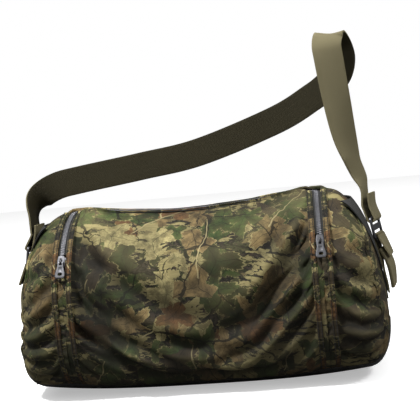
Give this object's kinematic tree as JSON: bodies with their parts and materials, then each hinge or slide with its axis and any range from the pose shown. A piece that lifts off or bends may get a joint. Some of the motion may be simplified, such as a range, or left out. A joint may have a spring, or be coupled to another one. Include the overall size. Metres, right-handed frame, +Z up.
{
  "type": "drum stick bag",
  "caption": "Barrel-shaped cloth bag for drum sticks, with a folding zipped lid on top, rounded ends, a flat base and a webbing shoulder strap held by metal buckles.",
  "frame": {"origin": "centre of the flat base, on the surface that the bag stands on", "axes": "+X along the bag, -Y towards the front with the parked zip sliders, +Z up"},
  "size_m": [0.4682, 0.2298, 0.4185],
  "materials": {
    "camouflage_cloth": "woven cotton twill in a leaf and twig camouflage print, slightly creased",
    "black_base": "coated black pack cloth, fine weave",
    "board": "matt black plastic sheet",
    "zip_tape": "black woven zip tape",
    "zip_metal": "dull nickel-plated metal, worn bright on edges",
    "olive_webbing": "olive cotton webbing with a fine diagonal rib",
    "black_webbing": "black webbing, fine rib",
    "buckle_metal": "dull stamped steel, worn bright on edges"
  },
  "bodies": {
    "bag": {"base_panel": "black_base", "base_board": "board", "front_panel": "camouflage_cloth", "rear_panel": "camouflage_cloth", "body_zip_tape": "zip_tape", "body_teeth": "zip_metal", "left_sleeve": "camouflage_cloth", "left_end_cap": "camouflage_cloth", "left_front_zip": "zip_metal", "left_zip_stop": "zip_metal", "left_front_placket": "camouflage_cloth", "left_sleeve_placket": "camouflage_cloth", "left_backing_band": "black_webbing", "left_anchor": "olive_webbing", "right_sleeve": "camouflage_cloth", "right_end_cap": "camouflage_cloth", "right_front_zip": "zip_metal", "right_zip_stop": "zip_metal", "right_front_placket": "camouflage_cloth", "right_sleeve_placket": "camouflage_cloth", "right_backing_band": "black_webbing", "right_anchor": "olive_webbing", "right_strap_end": "olive_webbing", "left_strap_end": "olive_webbing"},
    "lid": {"lid_panel": "camouflage_cloth", "lid_zip_tape": "zip_tape", "lid_teeth": "zip_metal", "left_lid_placket": "camouflage_cloth", "right_lid_placket": "camouflage_cloth"},
    "left_slider": {"left_slider": "zip_metal"},
    "right_slider": {"right_slider": "zip_metal"},
    "left_puller": {"left_puller": "zip_metal"},
    "right_puller": {"right_puller": "zip_metal"},
    "left_buckle": {"left_buckle": "buckle_metal"},
    "right_buckle": {"right_buckle": "buckle_metal"},
    "strap": {"strap_web": "olive_webbing"}
  },
  "joints": [
    {"name": "lid_fold", "type": "hinge", "parent": "bag", "child": "lid", "pos_m": [0, -0.0951, 0.18059], "axis": [1, 0, 0], "range_deg": [0, 140]},
    {"name": "left_slider_run", "type": "hinge", "parent": "bag", "child": "left_slider", "pos_m": [-0.154, 0, 0.114], "axis": [-1, 0, 0], "range_deg": [0, 44]},
    {"name": "left_puller_swing", "type": "hinge", "parent": "left_slider", "child": "left_puller", "pos_m": [-0.154, -0.10221, 0.17116], "axis": [-1, 0, 0], "range_deg": [0, 120]},
    {"name": "left_buckle_tilt", "type": "hinge", "parent": "bag", "child": "left_buckle", "pos_m": [-0.22514, 0, 0.16018], "axis": [0, 1, 0], "range_deg": [-3, 3]},
    {"name": "right_slider_run", "type": "hinge", "parent": "bag", "child": "right_slider", "pos_m": [0.154, 0, 0.114], "axis": [-1, 0, 0], "range_deg": [0, 44]},
    {"name": "right_puller_swing", "type": "hinge", "parent": "right_slider", "child": "right_puller", "pos_m": [0.154, -0.10221, 0.17116], "axis": [-1, 0, 0], "range_deg": [0, 120]},
    {"name": "right_buckle_tilt", "type": "hinge", "parent": "bag", "child": "right_buckle", "pos_m": [0.22514, 0, 0.16018], "axis": [0, 1, 0], "range_deg": [-3, 3]},
    {"name": "strap_swing", "type": "hinge", "parent": "bag", "child": "strap", "pos_m": [0, 0, 0.222], "axis": [1, 0, 0], "range_deg": [-45, 45]}
  ]
}
